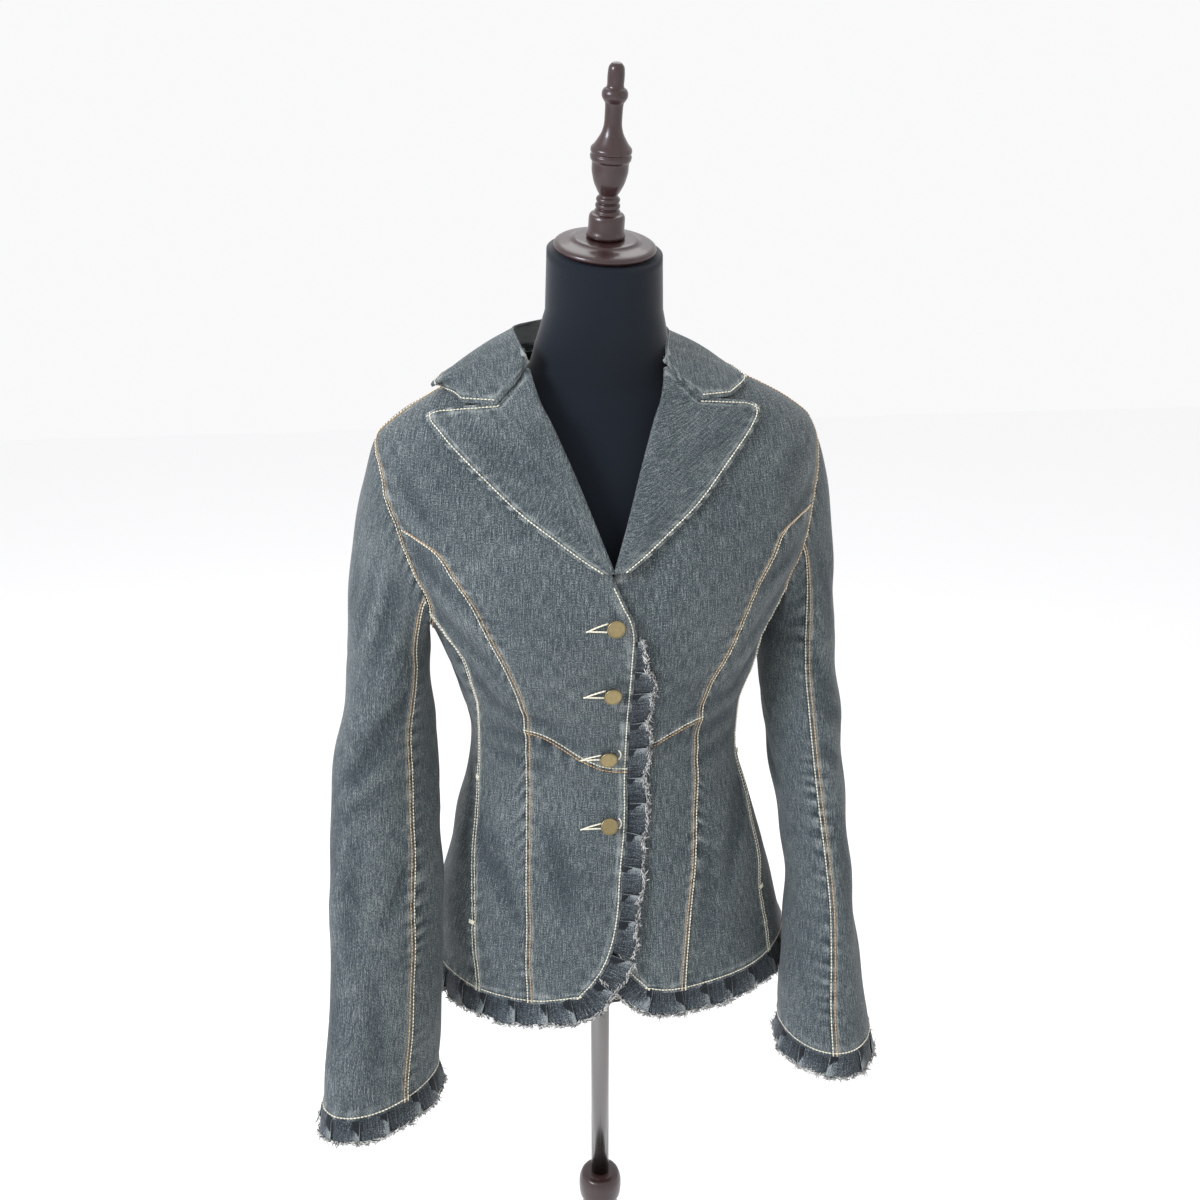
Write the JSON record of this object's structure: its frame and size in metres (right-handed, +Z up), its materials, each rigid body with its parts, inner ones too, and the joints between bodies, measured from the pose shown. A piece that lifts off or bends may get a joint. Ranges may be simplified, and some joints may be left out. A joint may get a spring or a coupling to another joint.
{
  "type": "denim jacket on a dress form",
  "caption": "Fitted long-sleeved denim jacket with notched lapels and frayed ruffles at front edge, hem and cuffs, buttoned on a limbless dress form with a turned stand",
  "frame": {"origin": "on the floor under the pole, at the centre of the round base's underside", "axes": "+Z up, the jacket's front faces -Y, the wearer's left side is +X"},
  "size_m": [0.5309, 0.3685, 1.4788],
  "materials": {
    "washed_denim": "washed dark grey-blue stretch denim, vertical slub grain, faded at the seams",
    "frayed_denim": "raw-edged denim strip, pleated, dark with pale frayed threads",
    "form_cloth": "black matt jersey stretched over the form",
    "turned_wood": "turned wood under dark red-brown satin varnish",
    "chrome_tube": "polished chrome-plated tube",
    "antique_brass": "flat antique-brass button face, brushed matt"
  },
  "bodies": {
    "root": {"back_centre_left": "washed_denim", "back_centre_right": "washed_denim", "back_side_left": "washed_denim", "back_side_right": "washed_denim", "button_1": "antique_brass", "button_2": "antique_brass", "button_3": "antique_brass", "button_4": "antique_brass", "collar": "washed_denim", "finial": "turned_wood", "form_torso": "form_cloth", "front_lower_left": "washed_denim", "front_lower_right": "washed_denim", "front_side_left": "washed_denim", "front_side_right": "washed_denim", "front_upper_left": "washed_denim", "front_upper_right": "washed_denim", "lapel_left": "washed_denim", "lapel_right": "washed_denim", "neck_cap": "turned_wood", "pocket_facing_left": "frayed_denim", "pocket_facing_right": "frayed_denim", "pole": "chrome_tube", "ruffle_cuff_left": "frayed_denim", "ruffle_cuff_right": "frayed_denim", "ruffle_front": "frayed_denim", "ruffle_hem": "frayed_denim", "sleeve_top_left": "washed_denim", "sleeve_top_right": "washed_denim", "sleeve_under_left": "washed_denim", "sleeve_under_right": "washed_denim", "stand_base": "turned_wood", "stand_post": "turned_wood"}
  },
  "joints": []
}
